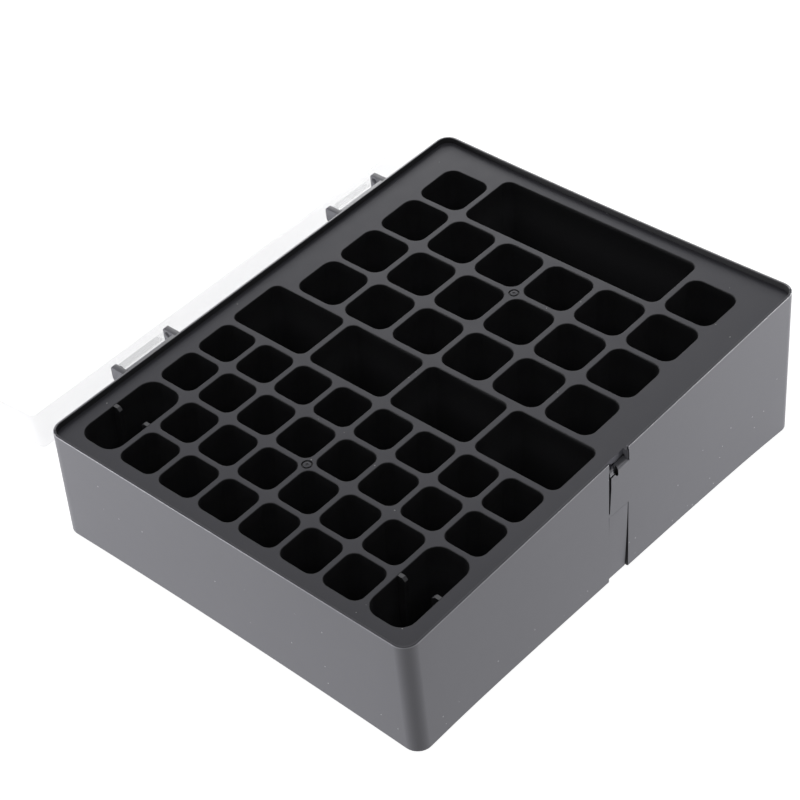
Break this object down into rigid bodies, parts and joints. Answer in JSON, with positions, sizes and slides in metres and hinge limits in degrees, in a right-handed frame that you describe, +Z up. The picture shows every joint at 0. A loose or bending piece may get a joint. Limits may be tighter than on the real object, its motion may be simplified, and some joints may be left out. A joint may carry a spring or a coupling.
{
  "type": "battery storage case",
  "caption": "Sloping desktop case with a moulded tray of wells for standing cells, a sprung latch tongue and a clear lid hinged on its left side, shown open.",
  "frame": {"origin": "centre of the case's flat base, on the table", "axes": "+X to the latch side, with the open lid on -X; +Y to the tall back of the case; +Z up"},
  "size_m": [0.2645, 0.1662, 0.0471],
  "materials": {
    "charcoal_shell": "satin, very fine moulded grain",
    "charcoal_tray": "semi-matt",
    "clear_lid": "polished, transparent"
  },
  "bodies": {
    "case": {"case_shell": "charcoal_shell", "catch_block": "charcoal_shell", "hinge_ears": "charcoal_shell", "rail_back": "charcoal_tray", "rail_before_aa_row_1": "charcoal_tray", "rail_before_aa_row_2": "charcoal_tray", "rail_before_aa_row_3": "charcoal_tray", "rail_before_aa_row_4": "charcoal_tray", "rail_before_aaa_row_2": "charcoal_tray", "rail_before_aaa_row_3": "charcoal_tray", "rail_before_aaa_row_4": "charcoal_tray", "rail_before_nine_volt_row": "charcoal_tray", "rail_front": "charcoal_tray", "slot_ribs": "charcoal_tray", "tray_deck": "charcoal_tray", "tray_flange": "charcoal_tray", "walls_aa_row_1": "charcoal_tray", "walls_aa_row_2": "charcoal_tray", "walls_aa_row_3": "charcoal_tray", "walls_aa_row_4": "charcoal_tray", "walls_aaa_row_1": "charcoal_tray", "walls_aaa_row_2": "charcoal_tray", "walls_aaa_row_3": "charcoal_tray", "walls_aaa_row_4": "charcoal_tray", "walls_corner_slots": "charcoal_tray", "walls_nine_volt_row": "charcoal_tray", "well_floor": "charcoal_tray"},
    "lid": {"lid_hook": "clear_lid", "lid_knuckle_front": "clear_lid", "lid_knuckle_rear": "clear_lid", "lid_panel": "clear_lid", "lid_skirt": "clear_lid"},
    "tongue": {"latch_tongue": "charcoal_shell"}
  },
  "joints": [
    {"name": "lid_hinge", "type": "hinge", "parent": "case", "child": "lid", "pos_m": [-0.0674, 0.00011, 0.0398], "axis": [0, 0.9978, 0.0661], "range_deg": [0, 187]},
    {"name": "latch_flex", "type": "hinge", "parent": "case", "child": "tongue", "pos_m": [0.06443, 0.00025, 0.0219], "axis": [0, 1, 0], "range_deg": [-1.5, 3], "stiffness_Nm_per_rad": 0.8}
  ]
}
